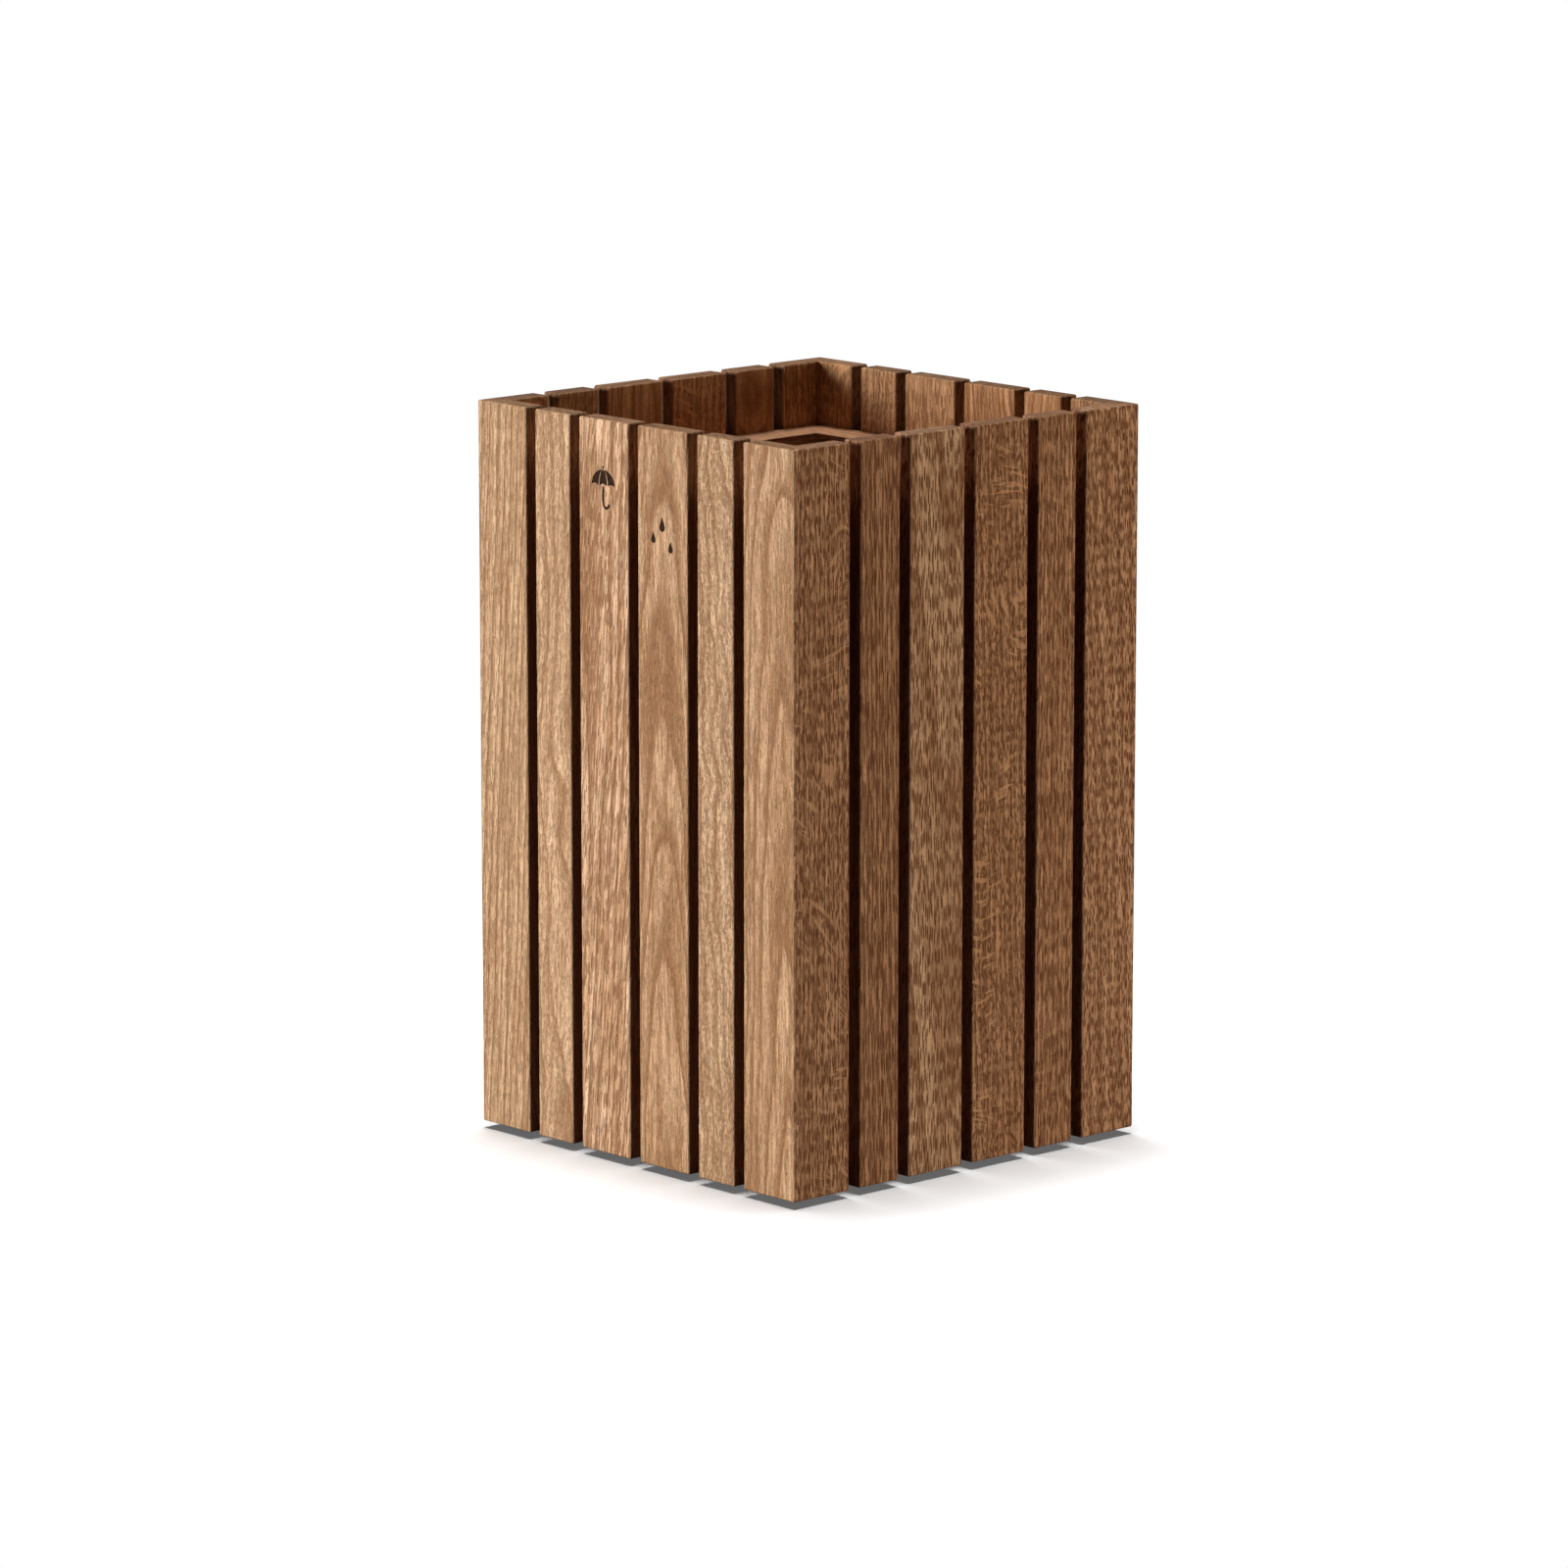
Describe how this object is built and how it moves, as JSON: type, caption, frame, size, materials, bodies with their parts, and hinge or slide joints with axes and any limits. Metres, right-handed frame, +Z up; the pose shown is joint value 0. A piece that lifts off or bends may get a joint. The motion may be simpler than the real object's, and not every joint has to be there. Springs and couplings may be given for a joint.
{
  "type": "umbrella stand",
  "caption": "Square upright umbrella stand of spaced oak slats round mitred inner frames, open at the top, with a lift-out drip tray in the base.",
  "frame": {"origin": "bottom centre of the stand, on the floor under the feet", "axes": "+Z up; the front, where the small burnt-in sign is, faces -Y; +X is to the right of the front"},
  "size_m": [0.25, 0.25, 0.4],
  "materials": {
    "slat_oak": "oiled, open pored",
    "frame_oak": "oiled, planed smooth",
    "plywood": "oiled",
    "beech": "raw",
    "screw_steel": "yellow zinc plated",
    "foot_rubber": "matte",
    "tray_coating": "fine textured powder coat"
  },
  "bodies": {
    "stand": {"front_slat_1": "slat_oak", "front_slat_2": "slat_oak", "front_slat_3": "slat_oak", "front_slat_4": "slat_oak", "front_slat_5": "slat_oak", "front_slat_6": "slat_oak", "right_slat_1": "slat_oak", "right_slat_2": "slat_oak", "right_slat_3": "slat_oak", "right_slat_4": "slat_oak", "right_slat_5": "slat_oak", "right_slat_6": "slat_oak", "back_slat_1": "slat_oak", "back_slat_2": "slat_oak", "back_slat_3": "slat_oak", "back_slat_4": "slat_oak", "back_slat_5": "slat_oak", "back_slat_6": "slat_oak", "left_slat_1": "slat_oak", "left_slat_2": "slat_oak", "left_slat_3": "slat_oak", "left_slat_4": "slat_oak", "left_slat_5": "slat_oak", "left_slat_6": "slat_oak", "bottom_frame_front": "frame_oak", "bottom_frame_right": "frame_oak", "bottom_frame_back": "frame_oak", "bottom_frame_left": "frame_oak", "top_frame_front": "frame_oak", "top_frame_right": "frame_oak", "top_frame_back": "frame_oak", "top_frame_left": "frame_oak", "slat_screws_bottom": "screw_steel", "slat_screws_top": "screw_steel", "panel_screws": "screw_steel", "foot_screws": "screw_steel", "corner_dowels_bottom": "beech", "corner_dowels_top": "beech", "mitre_biscuits_bottom": "beech", "mitre_biscuits_top": "beech", "foot_front_left": "foot_rubber", "foot_front_right": "foot_rubber", "foot_back_right": "foot_rubber", "foot_back_left": "foot_rubber", "base_panel": "plywood"},
    "tray": {"drip_tray": "tray_coating"}
  },
  "joints": [
    {"name": "tray_lift", "type": "slide", "parent": "stand", "child": "tray", "axis": [0, 0, 1], "range_m": [0, 0.4]}
  ]
}
